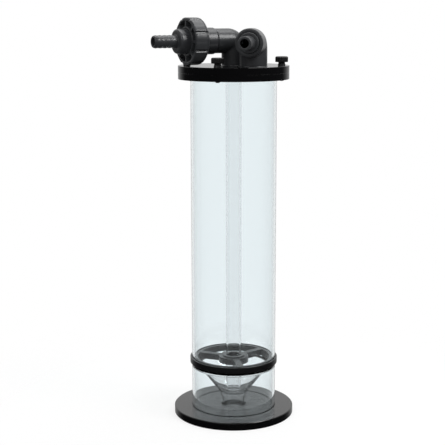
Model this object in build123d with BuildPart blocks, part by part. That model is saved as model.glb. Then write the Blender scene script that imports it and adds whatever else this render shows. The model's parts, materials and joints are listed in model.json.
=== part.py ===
"""Aquarium media reactor: a clear upright tube between a round base and a screwed-on lid.

Water enters through the union and the elbow on the lid, runs down the central feed pipe into
the funnel, rises through the spoked ring into the tube and leaves through the second elbow.

Millimetres. +Z is up, the tube's axis is Z, and z = 0 is the underside of the base plate.
"""

from build123d import *
from math import cos, hypot, radians, sin
import os

# ---------------------------------------------------------------- driving dimensions

# clearances
running_fit = 0.05        # radial, a screw in its threaded hole
guide_clearance = 0.3     # radial, a pipe in its guide or a nut on its thread
seat_clearance = 0.4      # radial, a glued part in its groove

# clear tube
tube_radius = 55.0
tube_wall = 3.0
seat_depth = 2.0          # how far a tube end sits in its groove

# base plate
base_margin = 23.4        # beyond the tube
base_thickness = 10.0
base_edge = 0.8

# lower tube and funnel
lower_tube_height = 53.5  # above the base plate
funnel_flange_thickness = 5.0
funnel_wall = 2.5
funnel_neck_radius = 18.0  # outside of the tapered neck, where it meets the cone
funnel_neck_height = 17.5  # above the base plate
funnel_foot_radius = 13.5  # outside of the neck's lower end
funnel_seat_depth = 3.0
funnel_seat_gap = 3.0     # open ring round the foot
funnel_mouth_margin = 9.0  # from the tube's outside to the cone's, at the flange

# spoked ring
ring_overhang = 2.3       # beyond the tube
ring_ledge = 4.5          # inside the tube
ring_thickness = 8.0
ring_edge = 0.5
hub_wall = 7.0            # round the guide bush
spoke_count = 3
spoke_width = 8.5
spoke_angle = 40.0
spoke_fillet = 1.5

# pipe guide bush
bush_wall = 2.2
bush_rim_width = 2.0
bush_rim_height = 1.5

# main tube, flange and lid
main_tube_top = 449.1
lid_margin = 15.6         # beyond the tube
flange_thickness = 8.5
lid_thickness = 8.5
lid_edge = 0.3
seal_width = 2.6
seal_depth = 2.0
seal_gap = 0.5            # from the tube to the seal's groove

# thumb screws
screw_count = 4
screw_margin = 8.0        # from the tube to the screws' centres
screw_first_angle = 72.0
screw_radius = 3.0
screw_tip = 1.5           # how far the tip stands out under the flange
washer_height = 2.8
washer_wall = 1.9
washer_top_wall = 1.5
neck_height = 2.1
neck_wall = 1.2
head_height = 7.0
head_wall = 5.0
head_edge = 0.6
knurl_count = 24
knurl_radius = 0.55

# feed pipe
pipe_radius = 10.0
pipe_wall = 2.0
pipe_end_height = 22.0    # of its open end, above the base plate

# inlet elbow, at an angle from +X
inlet_angle = 210.0
inlet_socket_wall = 5.4
inlet_bend = 9.0
inlet_mouth = 30.0
socket_depth = 15.0

# union
union_gap = 0.4           # between the elbow's mouth and the union body
nipple_insert = 12.0      # of the nipple, in the union body
union_barrel_wall = 6.5
union_barrel_length = 18.2
union_thread_height = 5.0  # of the threaded end, above the barrel
union_thread_length = 8.4
face_seal_margin = 4.0    # from the bore to the seal
face_seal_width = 2.6
face_seal_depth = 1.6
nut_overlap = 0.6         # behind the threaded end
nut_length = 20.4
nut_wall = 7.9            # round the thread
nut_flat_depth = 1.2      # from the nut's corners' circle to its flats
nut_back_wall = 4.0
nut_back_chamfer = 4.0
nut_front_chamfer = 1.6
nut_clearance = 1.5       # between the nut and the lid
nut_sides = 8
nut_pocket_depth = 5.0
nut_hub_wall = 2.6        # between the collar and the pockets
nut_rim_wall = 4.0        # outside the pockets
nut_rib_width = 3.4

# inlet hose tail
tail_flange_margin = 0.9  # inside the thread's radius
tail_flange_thickness = 3.0
tail_shoulder_width = 5.4
collar_length = 22.0
collar_round = 2.6
barb_length = 31.0
barb_core_radius = 7.6
barb_crest_radius = 8.0
barb_bore = 5.0
barb_tip_radius = 7.0
rib_count = 4
rib_pitch = 6.5
rib_land = 1.0
rib_ramp = 3.2
rib_tip_margin = 3.0      # from the last rib's land to the tip

# outlet line, at an angle from +X
outlet_angle = 260.0
outlet_x = 24.4
outlet_y = -26.0
outlet_axis_height = 29.6  # above the lid
outlet_socket_wall = 5.0
outlet_bend = 11.0
outlet_mouth = 34.0
outlet_pipe_radius = 12.5
outlet_pipe_wall = 2.0
outlet_socket_depth = 16.0
outlet_pipe_below_lid = 2.0
outlet_bush_stand = 3.0   # of the reducing bush, out of the elbow
outlet_nozzle_radius = 8.5
outlet_nozzle_length = 31.0
outlet_nozzle_bore = 5.5
outlet_insert_step = 0.6  # the part in the bush is this much wider
outlet_insert_length = 12.0
mouth_edge = 0.8

# ---------------------------------------------------------------- worked-out places

tube_inner_radius = tube_radius - tube_wall
base_radius = tube_radius + base_margin
lid_radius = tube_radius + lid_margin
screw_circle_radius = tube_radius + screw_margin
funnel_mouth_radius = tube_radius - funnel_mouth_margin
ring_inner_radius = tube_inner_radius - ring_ledge

lower_tube_top = base_thickness + lower_tube_height
ring_bottom = lower_tube_top + funnel_flange_thickness
ring_top = ring_bottom + ring_thickness
flange_bottom = main_tube_top - flange_thickness
lid_bottom = main_tube_top
lid_top = lid_bottom + lid_thickness

pipe_inner_radius = pipe_radius - pipe_wall
pipe_bottom = base_thickness + pipe_end_height
pipe_top = lid_top + socket_depth
bush_radius = pipe_radius + guide_clearance + bush_wall
bush_rim_radius = bush_radius + bush_rim_width
hub_radius = bush_radius + hub_wall

inlet_elbow_radius = pipe_radius + inlet_socket_wall
union_barrel_radius = pipe_radius + union_barrel_wall
union_thread_radius = union_barrel_radius + union_thread_height
nut_radius = union_thread_radius + nut_wall
nut_back_radius = union_thread_radius + nut_back_wall
tail_flange_radius = union_thread_radius - tail_flange_margin
collar_radius = tail_flange_radius - tail_shoulder_width
nut_pocket_inner = collar_radius + nut_hub_wall
nut_pocket_outer = nut_radius - nut_rim_wall
face_seal_inner = pipe_inner_radius + face_seal_margin
face_seal_outer = face_seal_inner + face_seal_width

# along the inlet line, from the feed pipe's axis
union_barrel_start = inlet_mouth + union_gap
nipple_end = union_barrel_start + nipple_insert
union_thread_start = union_barrel_start + union_barrel_length
union_face = union_thread_start + union_thread_length
nut_start = union_thread_start - nut_overlap
nut_end = nut_start + nut_length
tail_shoulder = union_face + tail_flange_thickness
collar_end = tail_shoulder + collar_length
barb_end = collar_end + barb_length

inlet_z = lid_top + nut_clearance + nut_radius
outlet_z = lid_top + outlet_axis_height
outlet_elbow_radius = outlet_pipe_radius + outlet_socket_wall
outlet_pipe_inner = outlet_pipe_radius - outlet_pipe_wall
outlet_insert_radius = outlet_nozzle_radius + outlet_insert_step
outlet_bush_end = outlet_mouth + outlet_bush_stand
outlet_tail_end = outlet_bush_end + outlet_nozzle_length

vertical = Plane.XY


def heading(x, y, z, angle):
    """Plane at a point whose normal is level and points at an angle from +X, x_dir up."""
    return Plane((x, y, z), x_dir=(0, 0, 1), z_dir=(cos(radians(angle)), sin(radians(angle)), 0))


inlet_line = heading(0, 0, inlet_z, inlet_angle)
outlet_line = heading(outlet_x, outlet_y, outlet_z, outlet_angle)
outlet_riser = Plane((outlet_x, outlet_y, 0))


# ---------------------------------------------------------------- shared shapes


def turned(line, profile, mode=Mode.ADD):
    """Revolve a closed outline of (distance along the line, radius) points about the line."""
    half_plane = Plane(line.origin, x_dir=line.z_dir, z_dir=line.y_dir)
    with BuildSketch(half_plane) as section:
        with BuildLine():
            Polyline(*profile, close=True)
        make_face()
    revolve(section.sketch, axis=Axis(line.origin, line.z_dir), mode=mode)


def bar(line, start, end, radius, mode=Mode.ADD):
    """Round bar about a line, between two distances along it."""
    with BuildSketch(line.offset(start)) as section:
        Circle(radius)
    extrude(section.sketch, amount=end - start, mode=mode)


def bored(line, start, end, outer, inner):
    """Round tube about a line, between two distances along it."""
    with BuildSketch(line.offset(start)) as section:
        Circle(outer)
        Circle(inner, mode=Mode.SUBTRACT)
    extrude(section.sketch, amount=end - start)


def quarter_bend(line, riser_z, bend, radius, mode=Mode.ADD):
    """Quarter turn from a riser below the line's origin into the line.

    The section stops at the bend's axis, so that a bend tighter than its own radius is sound.
    """
    corner = line.origin - Vector(0, 0, bend)
    with BuildSketch(Plane(corner, x_dir=line.z_dir)) as section:
        Circle(radius)
        with Locations((bend, 0)):
            Rectangle(radius + bend, 2 * radius, align=(Align.MAX, Align.CENTER), mode=Mode.INTERSECT)
    turn_axis = Axis(corner + line.z_dir * bend, line.z_dir.cross(Vector(0, 0, 1)) * -1)
    revolve(section.sketch, axis=turn_axis, revolution_arc=90, mode=mode)
    riser = Plane((line.origin.X, line.origin.Y, 0))
    bar(riser, riser_z, line.origin.Z - bend, radius, mode)


def elbow(line, outer, bend, mouth, pipe, bore, depth):
    """Socket elbow standing on the lid: two glued sockets joined by a bent bore."""
    riser = Plane((line.origin.X, line.origin.Y, 0))
    quarter_bend(line, lid_top, bend, outer)
    bar(line, bend, mouth, outer)
    quarter_bend(line, lid_top, bend, bore, Mode.SUBTRACT)
    bar(line, bend, mouth, bore, Mode.SUBTRACT)
    bar(riser, lid_top, lid_top + depth, pipe, Mode.SUBTRACT)
    bar(line, mouth - depth, mouth, pipe, Mode.SUBTRACT)
    mouth_edges = edges().filter_by(GeomType.CIRCLE).filter_by(
        lambda edge: abs(edge.radius - outer) < 0.01 and abs(edge.arc_center.Z - line.origin.Z) < 0.01
    )
    chamfer(mouth_edges.sort_by(lambda edge: edge.arc_center.dot(line.z_dir))[-1], mouth_edge)


def save(piece, label):
    """Name a finished piece and write it."""
    piece.part.label = label
    export_step(piece.part, f"parts/{label}.step")


os.makedirs("parts", exist_ok=True)

# ---------------------------------------------------------------- vessel

# round base with a groove for the lower tube and a seat for the funnel's neck
with BuildPart() as base_plate:
    bar(vertical, 0, base_thickness, base_radius)
    chamfer(edges().filter_by(GeomType.CIRCLE), base_edge)
    with BuildSketch(Plane.XY.offset(base_thickness)):
        Circle(tube_radius + seat_clearance)
        Circle(tube_inner_radius - seat_clearance, mode=Mode.SUBTRACT)
    extrude(amount=-seat_depth, mode=Mode.SUBTRACT)
    with BuildSketch(Plane.XY.offset(base_thickness)):
        Circle(funnel_foot_radius + funnel_seat_gap)
    extrude(amount=-funnel_seat_depth, mode=Mode.SUBTRACT)
save(base_plate, "base_plate")

# short clear tube under the funnel's flange
with BuildPart() as lower_tube:
    bored(vertical, base_thickness - seat_depth, lower_tube_top, tube_radius, tube_inner_radius)
save(lower_tube, "lower_tube")

# clear funnel: flange, cone and tapered neck with one wall thickness
cone_height = lower_tube_height - funnel_neck_height
cone_run = funnel_mouth_radius - funnel_neck_radius
cone_slope = cone_run / cone_height
level_wall = funnel_wall * hypot(1, cone_slope)
neck_top = base_thickness + funnel_neck_height
neck_inner_radius = funnel_neck_radius - funnel_wall
inner_neck_top = neck_top + (neck_inner_radius + level_wall - funnel_neck_radius) / cone_slope
inner_mouth_radius = funnel_mouth_radius - level_wall + cone_slope * funnel_flange_thickness
with BuildPart() as funnel:
    turned(
        vertical,
        [
            (base_thickness - funnel_seat_depth, funnel_foot_radius - funnel_wall),
            (base_thickness - funnel_seat_depth, funnel_foot_radius),
            (neck_top, funnel_neck_radius),
            (lower_tube_top, funnel_mouth_radius),
            (lower_tube_top, tube_radius),
            (ring_bottom, tube_radius),
            (ring_bottom, inner_mouth_radius),
            (inner_neck_top, neck_inner_radius),
        ],
    )
save(funnel, "funnel")

# spoked ring that carries the tube and guides the feed pipe
with BuildPart() as flow_spider:
    with BuildSketch(Plane.XY.offset(ring_bottom)):
        Circle(tube_radius + ring_overhang)
        Circle(ring_inner_radius, mode=Mode.SUBTRACT)
        with PolarLocations(0, spoke_count, start_angle=spoke_angle):
            Rectangle(
                (ring_inner_radius + tube_radius) / 2, spoke_width, align=(Align.MIN, Align.CENTER)
            )
        Circle(hub_radius)
    extrude(amount=ring_thickness)
    fillet(edges().filter_by(Axis.Z), spoke_fillet)
    outer_edges = edges().filter_by(GeomType.CIRCLE).sort_by(SortBy.RADIUS)[-2:]
    chamfer(outer_edges, ring_edge)
    bar(vertical, ring_bottom, ring_top, bush_radius, Mode.SUBTRACT)
    with BuildSketch(Plane.XY.offset(ring_top)):
        Circle(tube_radius + seat_clearance)
        Circle(tube_inner_radius - seat_clearance, mode=Mode.SUBTRACT)
    extrude(amount=-seat_depth, mode=Mode.SUBTRACT)
save(flow_spider, "flow_spider")

# bush pressed into the hub, with a rim on top
with BuildPart() as pipe_guide_bush:
    bored(vertical, ring_bottom, ring_top, bush_radius, pipe_radius + guide_clearance)
    bored(vertical, ring_top, ring_top + bush_rim_height, bush_rim_radius, pipe_radius + guide_clearance)
    rim_edge = edges().filter_by(GeomType.CIRCLE).group_by(Axis.Z)[-1].sort_by(SortBy.RADIUS)[-1]
    chamfer(rim_edge, ring_edge)
save(pipe_guide_bush, "pipe_guide_bush")

# long clear tube
with BuildPart() as main_tube:
    bored(vertical, ring_top - seat_depth, main_tube_top, tube_radius, tube_inner_radius)
save(main_tube, "main_tube")

# threaded flange glued round the tube's top, with a groove for the seal
seal_inner_radius = tube_radius + seal_gap
with BuildPart() as tube_flange:
    bored(vertical, flange_bottom, main_tube_top, lid_radius, tube_radius)
    outer_edges = edges().filter_by(GeomType.CIRCLE).sort_by(SortBy.RADIUS)[-2:]
    chamfer(outer_edges, lid_edge)
    with BuildSketch(Plane.XY.offset(main_tube_top)):
        Circle(seal_inner_radius + seal_width)
        Circle(seal_inner_radius, mode=Mode.SUBTRACT)
    extrude(amount=-seal_depth, mode=Mode.SUBTRACT)
    with BuildSketch(Plane.XY.offset(main_tube_top)):
        with PolarLocations(screw_circle_radius, screw_count, start_angle=screw_first_angle):
            Circle(screw_radius + running_fit)
    extrude(amount=-flange_thickness, mode=Mode.SUBTRACT)
save(tube_flange, "tube_flange")

# seal pressed flat in the flange's groove
with BuildPart() as lid_seal:
    bored(
        vertical,
        main_tube_top - seal_depth,
        main_tube_top,
        seal_inner_radius + seal_width,
        seal_inner_radius,
    )
save(lid_seal, "lid_seal")

# ---------------------------------------------------------------- lid

with BuildPart() as lid_plate:
    bar(vertical, lid_bottom, lid_top, lid_radius)
    chamfer(edges().filter_by(GeomType.CIRCLE), lid_edge)
    bar(vertical, lid_bottom, lid_top, pipe_radius, Mode.SUBTRACT)
    bar(outlet_riser, lid_bottom, lid_top, outlet_pipe_radius, Mode.SUBTRACT)
    with BuildSketch(Plane.XY.offset(lid_top)):
        with PolarLocations(screw_circle_radius, screw_count, start_angle=screw_first_angle):
            Circle(screw_radius + guide_clearance)
    extrude(amount=-lid_thickness, mode=Mode.SUBTRACT)
save(lid_plate, "lid_plate")

# clear pipe from the inlet elbow down into the funnel
with BuildPart() as feed_pipe:
    bored(vertical, pipe_bottom, pipe_top, pipe_radius, pipe_inner_radius)
save(feed_pipe, "feed_pipe")

with BuildPart() as inlet_elbow:
    elbow(
        inlet_line, inlet_elbow_radius, inlet_bend, inlet_mouth, pipe_radius, pipe_inner_radius,
        socket_depth,
    )
save(inlet_elbow, "inlet_elbow")

# short pipe that joins the inlet elbow to the union
with BuildPart() as union_nipple:
    bored(inlet_line, inlet_mouth - socket_depth, nipple_end, pipe_radius, pipe_inner_radius)
save(union_nipple, "union_nipple")

# union body: plain barrel with a socket, then the threaded end with a groove in its face
with BuildPart() as union_body:
    turned(
        inlet_line,
        [
            (union_barrel_start, pipe_radius),
            (union_barrel_start, union_barrel_radius - mouth_edge),
            (union_barrel_start + mouth_edge, union_barrel_radius),
            (union_thread_start, union_barrel_radius),
            (union_thread_start, union_thread_radius - mouth_edge),
            (union_thread_start + mouth_edge, union_thread_radius),
            (union_face - mouth_edge, union_thread_radius),
            (union_face, union_thread_radius - mouth_edge),
            (union_face, face_seal_outer),
            (union_face - face_seal_depth, face_seal_outer),
            (union_face - face_seal_depth, face_seal_inner),
            (union_face, face_seal_inner),
            (union_face, pipe_inner_radius),
            (nipple_end, pipe_inner_radius),
            (nipple_end, pipe_radius),
        ],
    )
save(union_body, "union_body")

with BuildPart() as union_seal:
    bored(inlet_line, union_face - face_seal_depth, union_face, face_seal_outer, face_seal_inner)
save(union_seal, "union_seal")

with BuildPart() as outlet_elbow:
    elbow(
        outlet_line, outlet_elbow_radius, outlet_bend, outlet_mouth, outlet_pipe_radius,
        outlet_pipe_inner, outlet_socket_depth,
    )
save(outlet_elbow, "outlet_elbow")

# short pipe that joins the outlet elbow to the lid
with BuildPart() as outlet_stub_pipe:
    bored(
        outlet_riser,
        lid_bottom - outlet_pipe_below_lid,
        lid_top + outlet_socket_depth,
        outlet_pipe_radius,
        outlet_pipe_inner,
    )
save(outlet_stub_pipe, "outlet_stub_pipe")

# reducing bush glued in the outlet elbow's mouth
with BuildPart() as outlet_bush:
    turned(
        outlet_line,
        [
            (outlet_mouth - outlet_socket_depth, outlet_insert_radius),
            (outlet_mouth - outlet_socket_depth, outlet_pipe_radius),
            (outlet_bush_end - mouth_edge, outlet_pipe_radius),
            (outlet_bush_end, outlet_pipe_radius - mouth_edge),
            (outlet_bush_end, outlet_insert_radius),
        ],
    )
save(outlet_bush, "outlet_bush")

# plain hose nozzle, its wider end in the bush
with BuildPart() as outlet_hose_tail:
    turned(
        outlet_line,
        [
            (outlet_bush_end - outlet_insert_length, outlet_nozzle_bore),
            (outlet_bush_end - outlet_insert_length, outlet_insert_radius),
            (outlet_bush_end, outlet_insert_radius),
            (outlet_bush_end, outlet_nozzle_radius),
            (outlet_tail_end - mouth_edge, outlet_nozzle_radius),
            (outlet_tail_end, outlet_nozzle_radius - mouth_edge),
            (outlet_tail_end, outlet_nozzle_bore),
        ],
    )
save(outlet_hose_tail, "outlet_hose_tail")

# ---------------------------------------------------------------- union nut and inlet hose tail

# eight-sided hand nut: threaded behind, a shoulder in front, pockets between ribs in its face
with BuildPart() as union_nut:
    with BuildSketch(inlet_line.offset(nut_start)):
        Circle(nut_radius)
        RegularPolygon(
            nut_radius - nut_flat_depth, nut_sides, major_radius=False, mode=Mode.INTERSECT
        )
    extrude(amount=nut_length)
    turned(
        inlet_line,
        [
            (nut_start, 0),
            (nut_start, nut_back_radius),
            (nut_start + nut_back_chamfer, nut_radius),
            (nut_end - nut_front_chamfer, nut_radius),
            (nut_end, nut_radius - nut_front_chamfer),
            (nut_end, 0),
        ],
        Mode.INTERSECT,
    )
    with BuildSketch(inlet_line.offset(nut_end)):
        Circle(nut_pocket_outer)
        Circle(nut_pocket_inner, mode=Mode.SUBTRACT)
        with PolarLocations(0, nut_sides):
            Rectangle(
                nut_radius, nut_rib_width, align=(Align.MIN, Align.CENTER), mode=Mode.SUBTRACT
            )
    extrude(amount=-nut_pocket_depth, mode=Mode.SUBTRACT)
    bar(inlet_line, nut_start, tail_shoulder, union_thread_radius + guide_clearance, Mode.SUBTRACT)
    bar(inlet_line, nut_start, nut_end, collar_radius + guide_clearance, Mode.SUBTRACT)
save(union_nut, "union_nut")

# hose tail: flange held by the nut's shoulder, collar, then the ribbed barb
first_rib = barb_end - rib_tip_margin - (rib_count - 1) * rib_pitch - rib_land
barb_outline = []
for index in range(rib_count):
    land_start = first_rib + index * rib_pitch
    barb_outline.append((land_start, barb_core_radius))
    barb_outline.append((land_start, barb_crest_radius))
    barb_outline.append((land_start + rib_land, barb_crest_radius))
    if index < rib_count - 1:
        barb_outline.append((land_start + rib_land + rib_ramp, barb_core_radius))
with BuildPart() as inlet_hose_tail:
    turned(
        inlet_line,
        [
            (union_face, barb_bore),
            (union_face, tail_flange_radius),
            (tail_shoulder, tail_flange_radius),
            (tail_shoulder, collar_radius),
            (collar_end, collar_radius),
            (collar_end, barb_core_radius),
            *barb_outline,
            (barb_end, barb_tip_radius),
            (barb_end, barb_bore),
        ],
    )
    collar_edges = edges().filter_by(GeomType.CIRCLE).filter_by(
        lambda edge: abs(edge.radius - collar_radius) < 0.01
    )
    fillet(collar_edges.sort_by(lambda edge: edge.arc_center.dot(inlet_line.z_dir))[-1], collar_round)
save(inlet_hose_tail, "inlet_hose_tail")

# ---------------------------------------------------------------- thumb screws and washers

neck_bottom = lid_top + washer_height
head_bottom = neck_bottom + neck_height
head_top = head_bottom + head_height
washer_hole = screw_radius + guide_clearance
head_radius = screw_radius + head_wall
for index in range(screw_count):
    angle = screw_first_angle + index * 360 / screw_count
    screw_x = screw_circle_radius * cos(radians(angle))
    screw_y = screw_circle_radius * sin(radians(angle))
    screw_line = Plane((screw_x, screw_y, 0))

    # flared washer under the screw
    with BuildPart() as screw_washer:
        turned(
            screw_line,
            [
                (lid_top, washer_hole),
                (lid_top, screw_radius + washer_wall),
                (neck_bottom, screw_radius + washer_top_wall),
                (neck_bottom, washer_hole),
            ],
        )
    save(screw_washer, f"screw_washer_{index + 1}")

    # screw with a neck and a knurled head
    with BuildPart() as thumb_screw:
        turned(
            screw_line,
            [
                (flange_bottom - screw_tip, 0),
                (flange_bottom - screw_tip, screw_radius - head_edge),
                (flange_bottom - screw_tip + head_edge, screw_radius),
                (neck_bottom, screw_radius),
                (neck_bottom, screw_radius + neck_wall),
                (head_bottom, screw_radius + neck_wall),
                (head_bottom, head_radius - head_edge),
                (head_bottom + head_edge, head_radius),
                (head_top - head_edge, head_radius),
                (head_top, head_radius - head_edge),
                (head_top, 0),
            ],
        )
        with BuildSketch(screw_line.offset(head_bottom)):
            with PolarLocations(head_radius, knurl_count):
                Circle(knurl_radius)
        extrude(amount=head_height, mode=Mode.SUBTRACT)
    save(thumb_screw, f"thumb_screw_{index + 1}")
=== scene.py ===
"""Looks of the aquarium media reactor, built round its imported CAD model."""

import json
from math import cos, degrees, pi, radians, sin

import bmesh
import bpy
from mathutils import Matrix, Vector


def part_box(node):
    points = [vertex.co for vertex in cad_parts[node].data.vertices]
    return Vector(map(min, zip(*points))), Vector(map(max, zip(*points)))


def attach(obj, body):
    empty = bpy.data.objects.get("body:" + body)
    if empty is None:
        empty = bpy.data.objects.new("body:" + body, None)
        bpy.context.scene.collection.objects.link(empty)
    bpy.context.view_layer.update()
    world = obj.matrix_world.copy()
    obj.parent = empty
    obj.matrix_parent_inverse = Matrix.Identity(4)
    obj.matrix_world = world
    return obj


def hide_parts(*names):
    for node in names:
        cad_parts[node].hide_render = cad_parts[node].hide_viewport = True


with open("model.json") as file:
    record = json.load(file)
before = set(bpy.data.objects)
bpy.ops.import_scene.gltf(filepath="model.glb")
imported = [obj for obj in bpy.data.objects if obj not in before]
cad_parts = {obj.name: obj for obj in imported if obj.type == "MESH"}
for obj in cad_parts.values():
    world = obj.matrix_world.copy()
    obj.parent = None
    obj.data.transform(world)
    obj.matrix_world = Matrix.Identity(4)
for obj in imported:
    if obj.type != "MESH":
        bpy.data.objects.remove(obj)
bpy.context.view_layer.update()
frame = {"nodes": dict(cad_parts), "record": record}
nodes = frame["nodes"]
record = frame["record"]

MM = 0.001

# camera, in metres and degrees
LENS = 91.85
SENSOR_WIDTH = 36.0
CAMERA_PLACE = (-0.00095, -1.44953, 0.52529)
CAMERA_PITCH = 10.557
CAMERA_YAW = 0.532
CAMERA_ROLL = -0.097

# brightness of the surroundings
SEEN_WHITE = 1.0
LIGHT_GREY = 0.4
FLOOR_GLOW = 0.76
FLOOR_GREY = 0.25

# threads and walls, in mm
UNION_PITCH = 3.0
UNION_THREAD_DEPTH = 0.9
SCREW_PITCH = 1.0
SCREW_THREAD_DEPTH = 0.45
TUBE_WALL = 3.0
PIPE_WALL = 2.0

# grips of the hand nut and knurls of a screw's head
NUT_GRIPS = 8
SCREW_KNURLS = 24

ORIGIN = Vector((0, 0, 0))
UP = Vector((0, 0, 1))

# ---------------------------------------------------------------- camera and stage


def add_camera():
    """Camera in front, a little above the lid's height, looking down by about 10 degrees."""
    data = bpy.data.cameras.new("camera")
    data.lens = LENS
    data.sensor_width = SENSOR_WIDTH
    camera = bpy.data.objects.new("camera", data)
    bpy.context.scene.collection.objects.link(camera)
    pitch = radians(CAMERA_PITCH)
    turn = Matrix.Rotation(radians(CAMERA_YAW), 4, "Z") @ Matrix.Rotation(pi / 2 - pitch, 4, "X")
    roll = Matrix.Rotation(radians(CAMERA_ROLL), 4, "Z")
    camera.matrix_world = Matrix.Translation(CAMERA_PLACE) @ turn @ roll
    bpy.context.scene.camera = camera


def add_light(name, place, target, size, power):
    """Soft rectangular lamp aimed at a point."""
    data = bpy.data.lights.new(name, "AREA")
    data.shape = "RECTANGLE"
    data.size, data.size_y = size
    data.energy = power
    lamp = bpy.data.objects.new(name, data)
    bpy.context.scene.collection.objects.link(lamp)
    lamp.location = place
    lamp.rotation_euler = (Vector(target) - Vector(place)).to_track_quat("-Z", "Y").to_euler()


def tree(holder):
    """Empties a node tree and returns its nodes and links."""
    holder.use_nodes = True
    holder.node_tree.nodes.clear()
    return holder.node_tree.nodes, holder.node_tree.links


def clear_view(items, links):
    """1 for camera rays that only passed through clear pieces, 0 for most others.

    Rays that were also mirrored count as well when their number of crossings is 2, 6, 10 and so
    on. That number was chosen: it makes the clear walls' edges pale, and it brightens the open
    walls slightly.
    """
    path = items.new("ShaderNodeLightPath")
    direct = items.new("ShaderNodeMath")
    direct.operation = "LESS_THAN"
    direct.inputs[1].default_value = 0.5
    links.new(path.outputs["Glossy Depth"], direct.inputs[0])
    crossings = items.new("ShaderNodeMath")
    crossings.operation = "MODULO"
    crossings.inputs[1].default_value = 4
    links.new(path.outputs["Transmission Depth"], crossings.inputs[0])
    inside = items.new("ShaderNodeMath")
    inside.operation = "COMPARE"
    inside.inputs[1].default_value = 2
    inside.inputs[2].default_value = 0.5
    links.new(crossings.outputs[0], inside.inputs[0])
    either = items.new("ShaderNodeMath")
    either.operation = "MAXIMUM"
    links.new(direct.outputs[0], either.inputs[0])
    links.new(inside.outputs[0], either.inputs[1])
    glass = items.new("ShaderNodeMath")
    glass.operation = "MULTIPLY"
    links.new(path.outputs["Is Transmission Ray"], glass.inputs[0])
    links.new(either.outputs[0], glass.inputs[1])
    seen = items.new("ShaderNodeMath")
    seen.operation = "MAXIMUM"
    links.new(path.outputs["Is Camera Ray"], seen.inputs[0])
    links.new(glass.outputs[0], seen.inputs[1])
    return seen.outputs[0]


def ramp_along(items, links, value, start, end, low, high):
    """Eased step of a direction's share, from low before start to high after end."""
    ramp = items.new("ShaderNodeMapRange")
    ramp.interpolation_type = "SMOOTHSTEP"
    for socket, number in zip(("From Min", "From Max", "To Min", "To Max"), (start, end, low, high)):
        ramp.inputs[socket].default_value = number
    links.new(value, ramp.inputs["Value"])
    return ramp.outputs["Result"]


def set_world():
    """White seen directly and through glass; in gloss bright above and behind; grey as light."""
    world = bpy.data.worlds.new("studio")
    bpy.context.scene.world = world
    items, links = tree(world)
    path = items.new("ShaderNodeLightPath")
    place = items.new("ShaderNodeTexCoord")
    split = items.new("ShaderNodeSeparateXYZ")
    links.new(place.outputs["Generated"], split.inputs[0])
    mirrored = items.new("ShaderNodeMath")
    mirrored.operation = "MULTIPLY"
    behind = ramp_along(items, links, split.outputs["Y"], start=0.1, end=0.75, low=0.35, high=1.0)
    links.new(behind, mirrored.inputs[0])
    lifted = ramp_along(items, links, split.outputs["Z"], start=-0.05, end=0.25, low=0.03, high=1.0)
    below = ramp_along(items, links, split.outputs["Y"], start=0.45, end=0.95, low=0.03, high=0.55)
    links.new(below, lifted.node.inputs["To Min"])
    links.new(lifted, mirrored.inputs[1])
    gloss = items.new("ShaderNodeMix")
    links.new(path.outputs["Is Glossy Ray"], gloss.inputs["Factor"])
    gloss.inputs["A"].default_value = LIGHT_GREY
    links.new(mirrored.outputs[0], gloss.inputs["B"])
    strength = items.new("ShaderNodeMix")
    links.new(clear_view(items, links), strength.inputs["Factor"])
    links.new(gloss.outputs["Result"], strength.inputs["A"])
    strength.inputs["B"].default_value = SEEN_WHITE
    background = items.new("ShaderNodeBackground")
    background.inputs["Color"].default_value = (1, 1, 1, 1)
    links.new(strength.outputs["Result"], background.inputs["Strength"])
    output = items.new("ShaderNodeOutputWorld")
    links.new(background.outputs[0], output.inputs["Surface"])


def add_floor():
    """Pale floor that keeps the object's shadow and fades into the white surroundings."""
    bpy.ops.mesh.primitive_plane_add(size=6.0, location=(0, 0, 0))
    floor = bpy.context.object
    floor.name = "floor"
    mat = bpy.data.materials.new("floor_paper")
    items, links = tree(mat)
    diffuse = items.new("ShaderNodeBsdfDiffuse")
    diffuse.inputs["Color"].default_value = (FLOOR_GREY, FLOOR_GREY, FLOOR_GREY, 1)
    path = items.new("ShaderNodeLightPath")
    gain = items.new("ShaderNodeMath")
    gain.operation = "MULTIPLY"
    gain.inputs[1].default_value = FLOOR_GLOW
    links.new(clear_view(items, links), gain.inputs[0])
    glow = items.new("ShaderNodeEmission")
    links.new(gain.outputs[0], glow.inputs["Strength"])
    add = items.new("ShaderNodeAddShader")
    links.new(diffuse.outputs[0], add.inputs[0])
    links.new(glow.outputs[0], add.inputs[1])
    place = items.new("ShaderNodeTexCoord")
    reach = items.new("ShaderNodeVectorMath")
    reach.operation = "LENGTH"
    links.new(place.outputs["Object"], reach.inputs[0])
    fade = ramp_along(items, links, reach.outputs["Value"], start=0.16, end=0.5, low=0.0, high=1.0)
    mirrored = items.new("ShaderNodeMath")
    mirrored.operation = "SUBTRACT"
    mirrored.use_clamp = True
    links.new(path.outputs["Is Glossy Ray"], mirrored.inputs[0])
    links.new(path.outputs["Is Transmission Ray"], mirrored.inputs[1])
    gone = items.new("ShaderNodeMath")
    gone.operation = "MAXIMUM"
    links.new(fade, gone.inputs[0])
    links.new(mirrored.outputs[0], gone.inputs[1])
    nothing = items.new("ShaderNodeBsdfTransparent")
    mix = items.new("ShaderNodeMixShader")
    links.new(gone.outputs[0], mix.inputs["Fac"])
    links.new(add.outputs[0], mix.inputs[1])
    links.new(nothing.outputs[0], mix.inputs[2])
    output = items.new("ShaderNodeOutputMaterial")
    links.new(mix.outputs[0], output.inputs["Surface"])
    floor.data.materials.append(mat)


# ---------------------------------------------------------------- materials


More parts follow.
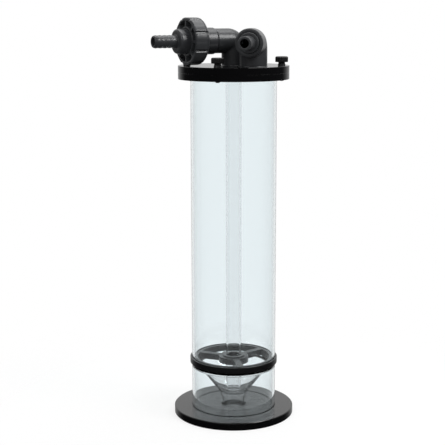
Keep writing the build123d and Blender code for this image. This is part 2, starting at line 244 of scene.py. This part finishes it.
def principled(name, colour, roughness, **sockets):
    """Material with one Principled shader; returns it with its nodes, links and shader."""
    mat = bpy.data.materials.new(name)
    items, links = tree(mat)
    shader = items.new("ShaderNodeBsdfPrincipled")
    shader.inputs["Base Color"].default_value = (*colour, 1)
    shader.inputs["Roughness"].default_value = roughness
    for socket, value in sockets.items():
        shader.inputs[socket.replace("_", " ")].default_value = value
    output = items.new("ShaderNodeOutputMaterial")
    links.new(shader.outputs[0], output.inputs["Surface"])
    return mat, items, links, shader, output


def grain(items, links, scale, detail=3.0):
    """Noise in the row frame, so that its size is in metres."""
    place = items.new("ShaderNodeTexCoord")
    noise = items.new("ShaderNodeTexNoise")
    noise.inputs["Scale"].default_value = scale
    noise.inputs["Detail"].default_value = detail
    links.new(place.outputs["Object"], noise.inputs["Vector"])
    return noise.outputs["Fac"]


def spread(items, links, value, low, high):
    """Maps a 0.3..0.7 noise to low..high."""
    ramp = items.new("ShaderNodeMapRange")
    ramp.inputs["From Min"].default_value = 0.3
    ramp.inputs["From Max"].default_value = 0.7
    ramp.inputs["To Min"].default_value = low
    ramp.inputs["To Max"].default_value = high
    links.new(value, ramp.inputs["Value"])
    return ramp.outputs["Result"]


def bump(items, links, shader, value, height):
    """Relief of a given height, in metres, from a noise."""
    node = items.new("ShaderNodeBump")
    node.inputs["Strength"].default_value = 1.0
    node.inputs["Distance"].default_value = height
    links.new(value, node.inputs["Height"])
    links.new(node.outputs["Normal"], shader.inputs["Normal"])


def plastic(name, colour, lighter, roughness, rougher, height, scale):
    """Moulded or sawn plastic: slightly uneven in colour and gloss, with a fine grain."""
    mat, items, links, shader, _ = principled(name, colour, roughness)
    fine = grain(items, links, scale)
    broad = grain(items, links, scale / 40)
    mix = items.new("ShaderNodeMix")
    mix.data_type = "RGBA"
    mix.inputs["A"].default_value = (*colour, 1)
    mix.inputs["B"].default_value = (*lighter, 1)
    links.new(spread(items, links, broad, 0.0, 1.0), mix.inputs["Factor"])
    links.new(mix.outputs["Result"], shader.inputs["Base Color"])
    links.new(spread(items, links, fine, roughness, rougher), shader.inputs["Roughness"])
    bump(items, links, shader, fine, height)
    return mat


def clear(name, tint, pale):
    """Clear cast acrylic, tinted in the wide tubes and paler in the pipe and funnel within them."""
    mat, items, links, shader, output = principled(name, tint, 0.0, Transmission_Weight=1.0, IOR=1.49)
    place = items.new("ShaderNodeTexCoord")
    level = items.new("ShaderNodeVectorMath")
    level.operation = "MULTIPLY"
    level.inputs[1].default_value = (1, 1, 0)
    links.new(place.outputs["Object"], level.inputs[0])
    reach = items.new("ShaderNodeVectorMath")
    reach.operation = "LENGTH"
    links.new(level.outputs[0], reach.inputs[0])
    wide = items.new("ShaderNodeMapRange")
    wide.inputs["From Min"].default_value = 49 * MM
    wide.inputs["From Max"].default_value = 51 * MM
    links.new(reach.outputs["Value"], wide.inputs["Value"])
    colour = items.new("ShaderNodeMix")
    colour.data_type = "RGBA"
    colour.inputs["A"].default_value = (*pale, 1)
    colour.inputs["B"].default_value = (*tint, 1)
    links.new(wide.outputs["Result"], colour.inputs["Factor"])
    links.new(colour.outputs["Result"], shader.inputs["Base Color"])
    path = items.new("ShaderNodeLightPath")
    either = items.new("ShaderNodeMath")
    either.operation = "MAXIMUM"
    links.new(path.outputs["Is Shadow Ray"], either.inputs[0])
    links.new(path.outputs["Is Diffuse Ray"], either.inputs[1])
    through = items.new("ShaderNodeBsdfTransparent")
    through.inputs["Color"].default_value = (0.93, 0.96, 0.96, 1)
    mix = items.new("ShaderNodeMixShader")
    links.new(either.outputs[0], mix.inputs["Fac"])
    links.new(shader.outputs[0], mix.inputs[1])
    links.new(through.outputs[0], mix.inputs[2])
    links.new(mix.outputs[0], output.inputs["Surface"])
    return mat


materials = {
    "clear_acrylic": clear("clear_acrylic", tint=(0.925, 0.968, 0.982), pale=(0.995, 0.997, 1.0)),
    "base_acrylic": plastic(
        "base_acrylic",
        colour=(0.003, 0.003, 0.0033),
        lighter=(0.005, 0.005, 0.0053),
        roughness=0.2,
        rougher=0.28,
        height=0.000006,
        scale=900,
    ),
    "ring_plastic": plastic(
        "ring_plastic",
        colour=(0.006, 0.006, 0.007),
        lighter=(0.01, 0.01, 0.011),
        roughness=0.25,
        rougher=0.36,
        height=0.00002,
        scale=900,
    ),
    "black_acrylic": plastic(
        "black_acrylic",
        colour=(0.003, 0.003, 0.0033),
        lighter=(0.0045, 0.0045, 0.005),
        roughness=0.06,
        rougher=0.12,
        height=0.000004,
        scale=500,
    ),
    "grey_pvc": plastic(
        "grey_pvc",
        colour=(0.032, 0.0335, 0.037),
        lighter=(0.043, 0.045, 0.048),
        roughness=0.28,
        rougher=0.36,
        height=0.00003,
        scale=1200,
    ),
    "screw_nylon": plastic(
        "screw_nylon",
        colour=(0.005, 0.005, 0.005),
        lighter=(0.008, 0.008, 0.008),
        roughness=0.35,
        rougher=0.5,
        height=0.00003,
        scale=1500,
    ),
    "seal_rubber": plastic(
        "seal_rubber",
        colour=(0.012, 0.012, 0.012),
        lighter=(0.016, 0.016, 0.016),
        roughness=0.6,
        rougher=0.75,
        height=0.00003,
        scale=1500,
    ),
}

slots = {row["node"]: row["material_slot"] for row in record["subparts"]}
for name, node in nodes.items():
    node.data.materials.clear()
    node.data.materials.append(materials[slots[name]])

# ---------------------------------------------------------------- shaped pieces


def smooth(value, low, high):
    """0 below low, 1 above high, eased between them."""
    t = min(1.0, max(0.0, (value - low) / (high - low)))
    return t * t * (3 - 2 * t)


def rounded(corners, steps=4):
    """Outline through (distance, radius, rounding) corners, each rounded off within its sides.

    A point on each side, just outside the rounding, keeps the shading of the flat part flat.
    """
    out = []
    count = len(corners)
    for i, (s, r, size) in enumerate(corners):
        here = Vector((s, r))
        if size == 0:
            out.append((s, r))
            continue
        back = Vector(corners[i - 1][:2]) - here
        on = Vector(corners[(i + 1) % count][:2]) - here
        first, last, before, after = (
            here + side * min(limit, reach / max(side.length, 1e-6))
            for side, limit, reach in (
                (back, 0.45, size), (on, 0.45, size), (back, 0.49, size + 0.15), (on, 0.49, size + 0.15)
            )
        )
        points = [before]
        for k in range(steps + 1):
            t = k / steps
            points.append(first * (1 - t) ** 2 + here * 2 * t * (1 - t) + last * t * t)
        points.append(after)
        out += [(point.x, point.y) for point in points]
    return out


def finish_mesh(name, mesh, slot, body, replaced):
    """Turns a bmesh into a piece that rides a body, with soft shading and crisp edges."""
    for face in mesh.faces:
        face.smooth = True
    for edge in mesh.edges:
        edge.smooth = len(edge.link_faces) != 2 or edge.calc_face_angle(0) < radians(38)
    data = bpy.data.meshes.new(name)
    mesh.to_mesh(data)
    mesh.free()
    piece = bpy.data.objects.new(name, data)
    bpy.context.scene.collection.objects.link(piece)
    data.materials.append(materials[slot])
    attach(piece, body)
    if replaced:
        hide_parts(replaced)


def loft(name, origin, axis, outline, steps, slot, body, replaced=None):
    """Piece round an axis: outline(angle) gives its section as (distance, radius) points in mm."""
    up = Vector((0, 0, 1)) if abs(axis.z) < 0.5 else Vector((1, 0, 0))
    side = axis.cross(up).normalized()
    mesh = bmesh.new()
    rings = []
    for i in range(steps):
        angle = 2 * pi * i / steps
        out = up * cos(angle) + side * sin(angle)
        ring = [mesh.verts.new(origin + axis * (s * MM) + out * (r * MM)) for s, r in outline(angle)]
        rings.append(ring)
    solid = outline(0)[0][1] == 0
    count = len(rings[0])
    for ring, following in zip(rings, rings[1:] + rings[:1]):
        for j in range(count - 1 if solid else count):
            k = (j + 1) % count
            mesh.faces.new((ring[j], ring[k], following[k], following[j]))
    bmesh.ops.remove_doubles(mesh, verts=mesh.verts, dist=1e-7)
    bmesh.ops.recalc_face_normals(mesh, faces=mesh.faces)
    finish_mesh(name, mesh, slot, body, replaced)


def along(name, origin, axis):
    """First and last distance of a CAD node along an axis, and its widest radius, in mm."""
    node = nodes[name]
    far, near, wide = -1e9, 1e9, 0
    for vertex in node.data.vertices:
        place = node.matrix_world @ vertex.co - origin
        s = place.dot(axis)
        far = max(far, s)
        near = min(near, s)
        wide = max(wide, (place - axis * s).length)
    return near / MM, far / MM, wide / MM


def joint(name):
    """Point and axis of a joint of the record."""
    row = next(row for row in record["behaviour"]["joints"] if row["name"] == name)
    return Vector(row["pos_m"]), Vector(row["axis"]).normalized()


def thread(start, end, crest, depth, pitch, angle):
    """Helical thread between two distances, from a crest radius by a depth (negative is inwards)."""
    count = int(abs(end - start) / pitch * 8)
    out = []
    for i in range(count + 1):
        s = start + (end - start) * i / count
        turn = (s / pitch - angle / (2 * pi)) % 1
        out.append((s, crest + depth * smooth(abs(turn - 0.5), 0.08, 0.42)))
    return out


def add_nut():
    """Hand nut with eight grips, a rounded back, ribbed pockets in front and an inside thread."""
    origin, axis = joint("union_nut_turn")
    start, end, radius = along("union_nut", origin, axis)
    flange = 3.0
    shoulder = along("inlet_hose_tail", origin, axis)[0] + flange
    collar = 15.5
    bore = 21.8
    root = bore + UNION_THREAD_DEPTH
    groove_depth = 1.8
    grip_fall = 0.45
    pocket_depth = 6.0
    step = 360 / NUT_GRIPS

    def outline(angle):
        turn = degrees(angle) % step
        to_groove = abs(turn - step / 2)
        to_rib = min(turn, step - turn)
        groove = groove_depth * (1 - smooth(to_groove, 1.6, 4.2))
        rim = radius - groove - grip_fall * (to_groove / (step / 2)) ** 2
        floor = end - 0.05 - pocket_depth * smooth(to_rib, 4.0, 6.2)
        outside = rounded(
            [
                (start, bore + 0.2, 0.2),
                (start, bore + 3.2, 1.2),
                (start + 3.6, rim, 3.0),
                (end, rim, 1.8),
                (end, radius - 4.0, 0.5),
                (floor, radius - 4.6, 1.2),
                (floor, collar + 3.2, 1.2),
                (end, collar + 2.5, 0.5),
                (end, collar, 0.4),
                (shoulder, collar, 0.3),
                (shoulder, root, 0.3),
            ]
        )
        inside = thread(shoulder - 0.6, start + 0.6, root, -UNION_THREAD_DEPTH, UNION_PITCH, angle)
        return outside + inside

    loft("hand_nut", origin, axis, outline, 360, "grey_pvc", "union_nut", "union_nut")


def add_hose_tail():
    """Ribbed hose tail with a rounded collar and a soft-edged mouth."""
    origin, axis = joint("union_nut_turn")
    start, end, _ = along("inlet_hose_tail", origin, axis)
    shape = [(start, 5.0, 0.4), (start, 20.6, 0.3), (start + 3, 20.6, 0.3), (start + 3, 15.2, 0.4)]
    shape += [(start + 25, 15.2, 2.8), (start + 25, 7.7, 0.9)]
    for i in range(4):
        crest = end - 23.5 + 6.5 * i
        shape += [(crest - 0.3, 7.6, 0.2), (crest + 0.2, 8.0, 0.3), (crest + 1.0, 8.0, 0.5)]
        if i < 3:
            shape.append((crest + 4.6, 7.6, 0.8))
    shape += [(end, 7.1, 0.9), (end, 5.0, 0.6)]
    section = rounded(shape)
    body, replaced = "hose_tail", "inlet_hose_tail"
    loft("ribbed_hose_tail", origin, axis, lambda angle: section, 128, "grey_pvc", body, replaced)


def add_union_body():
    """Union body with a rounded barrel, a coarse outside thread and a groove for the face seal."""
    origin, axis = joint("union_nut_turn")
    start, end, _ = along("union_body", origin, axis)
    thread_length = 8.4
    step = end - thread_length
    barrel = 16.5
    crest = 21.4

    def outline(angle):
        back = rounded(
            [
                (start, 10.0, 0.2),
                (start, barrel, 0.9),
                (step, barrel, 0.6),
                (step, crest, 0.8),
            ]
        )
        front = rounded(
            [
                (end, 21.0, 0.5),
                (end, 14.6, 0.1),
                (end - 1.6, 14.6, 0.1),
                (end - 1.6, 12.0, 0.1),
                (end, 12.0, 0.1),
                (end, 8.0, 0.3),
                (start + 12, 8.0, 0.1),
                (start + 12, 10.0, 0.1),
            ]
        )
        outside = thread(step + 1.0, end - 0.8, crest, -UNION_THREAD_DEPTH, UNION_PITCH, angle)
        return back + outside + front

    loft("threaded_union_body", origin, axis, outline, 144, "grey_pvc", "lid", "union_body")


def add_nozzle():
    """Plain outlet nozzle and its reducing bush, with moulded edges."""
    mount = next(row for row in record["mounts"] if row["name"] == "outlet_nozzle")
    origin = Vector(mount["pos_m"])
    axis = Vector(mount["axis"]).normalized()
    start, end, _ = along("outlet_hose_tail", origin, axis)
    tail = rounded(
        [
            (start, 5.5, 0.3),
            (start, 9.1, 0.2),
            (start + 12, 9.1, 0.1),
            (start + 12, 8.5, 0.1),
            (end, 8.5, 0.9),
            (end, 5.5, 0.5),
        ]
    )
    loft("round_nozzle", origin, axis, lambda angle: tail, 96, "grey_pvc", "lid", "outlet_hose_tail")
    start, end, _ = along("outlet_bush", origin, axis)
    bush = rounded(
        [(start, 9.1, 0.2), (start, 12.5, 0.5), (end, 12.5, 1.0), (end, 9.1, 0.4)]
    )
    loft("round_bush", origin, axis, lambda angle: bush, 96, "grey_pvc", "lid", "outlet_bush")


def add_screws():
    """Thumb screws: a knurled head with soft edges and a dished top, a neck and a threaded shank."""
    for k in range(1, 5):
        origin, axis = joint(f"screw_{k}_turn")
        start, end, _ = along(f"thumb_screw_{k}", origin, axis)

        def outline(angle):
            dip = 0.5 * abs(sin(SCREW_KNURLS / 2 * angle)) ** 1.5
            grip = 8.0 - dip
            tip = [(start, 0), (start, 2.2), (start + 0.5, 2.6)]
            shank = thread(start + 0.8, 2.6, 3.0, -SCREW_THREAD_DEPTH, SCREW_PITCH, angle)
            top = rounded(
                [
                    (2.8, 3.0, 0.1),
                    (2.8, 4.2, 0.3),
                    (4.9, 4.2, 0.5),
                    (4.9, grip - 0.4, 0.5),
                    (5.7, grip, 0.5),
                    (end - 1.0, grip, 0.7),
                    (end, grip - 1.0, 0.7),
                    (end, 5.2, 0.5),
                    (end - 0.6, 4.6, 0.5),
                ],
                3,
            )
            return tip + shank + top + [(end - 0.6, 0)]

        loft(
            f"knurled_screw_{k}", origin, axis, outline, 144, "screw_nylon", f"screw_{k}", f"thumb_screw_{k}"
        )


def add_elbow(name, replaced):
    """Moulded elbow: the CAD shape with its corners and the crotch blended as a mould leaves them."""
    source = nodes[replaced]
    copy = bpy.data.objects.new("blend_source", source.data.copy())
    copy.matrix_world = source.matrix_world
    bpy.context.scene.collection.objects.link(copy)
    grid = copy.modifiers.new("grid", "REMESH")
    grid.mode = "VOXEL"
    grid.voxel_size = 0.65 * MM
    ease = copy.modifiers.new("ease", "SMOOTH")
    ease.factor = 0.5
    ease.iterations = 12
    evaluated = copy.evaluated_get(bpy.context.evaluated_depsgraph_get())
    mesh = bmesh.new()
    mesh.from_mesh(evaluated.to_mesh())
    mesh.transform(copy.matrix_world)
    bpy.data.objects.remove(copy)
    finish_mesh(name, mesh, "grey_pvc", "lid", replaced)


def add_clear_tubes():
    """Clear tubes and pipe turned finely, with polished edges."""
    for name, body, wall in (
        ("main_tube", "vessel", TUBE_WALL),
        ("lower_tube", "vessel", TUBE_WALL),
        ("feed_pipe", "lid", PIPE_WALL),
    ):
        start, end, outer = along(name, ORIGIN, UP)
        inner = outer - wall
        section = rounded([(start, inner, 0.2), (start, outer, 0.2), (end, outer, 0.2), (end, inner, 0.2)], 2)
        loft(f"polished_{name}", ORIGIN, UP, lambda angle: section, 240, "clear_acrylic", body, name)


def add_funnel():
    """Clear funnel: flange, cone and tapered neck with soft corners."""
    flange = 5
    start, end, outer = along("funnel", ORIGIN, UP)
    section = rounded(
        [
            (start, 11.0, 0.3),
            (start, 13.5, 0.3),
            (start + 20.5, 18.0, 3.0),
            (end - flange, 46.0, 1.5),
            (end - flange, outer, 0.2),
            (end, outer, 0.2),
            (end, 46.7, 1.0),
            (start + 21.4, 15.5, 3.0),
        ]
    )
    loft("polished_funnel", ORIGIN, UP, lambda angle: section, 240, "clear_acrylic", "vessel", "funnel")


def add_bead(name, centre, radius, size, slot, body):
    """Thin bead of set cement round a glued joint."""
    points = 10
    section = [
        (size * 0.9 * sin(2 * pi * i / points), radius + size * cos(2 * pi * i / points))
        for i in range(points)
    ]
    loft(name, centre, UP, lambda angle: section, 128, slot, body)


add_clear_tubes()
add_funnel()
add_nut()
add_hose_tail()
add_union_body()
add_nozzle()
add_screws()
add_elbow("moulded_inlet_elbow", "inlet_elbow")
add_elbow("moulded_outlet_elbow", "outlet_elbow")

lid_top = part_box("lid_plate")[1][2]
for name, replaced, radius in (("inlet", "feed_pipe", 15.3), ("outlet", "outlet_stub_pipe", 17.4)):
    low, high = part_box(replaced)
    centre = Vector(((low[0] + high[0]) / 2, (low[1] + high[1]) / 2, lid_top))
    add_bead(f"{name}_elbow_bead", centre, radius, 0.7, "grey_pvc", "lid")

# ---------------------------------------------------------------- light and frame

add_camera()
set_world()
add_floor()
add_light("key", (0.95, -0.45, 1.25), (0, 0, 0.45), (0.5, 0.6), 9.5)
add_light("fill", (-0.6, -0.9, 1.2), (0, 0, 0.4), (0.9, 0.9), 4)
add_light("top", (0.1, 0.3, 1.6), (0, 0, 0.45), (1.2, 0.8), 9)

bpy.context.scene.view_settings.view_transform = "Standard"
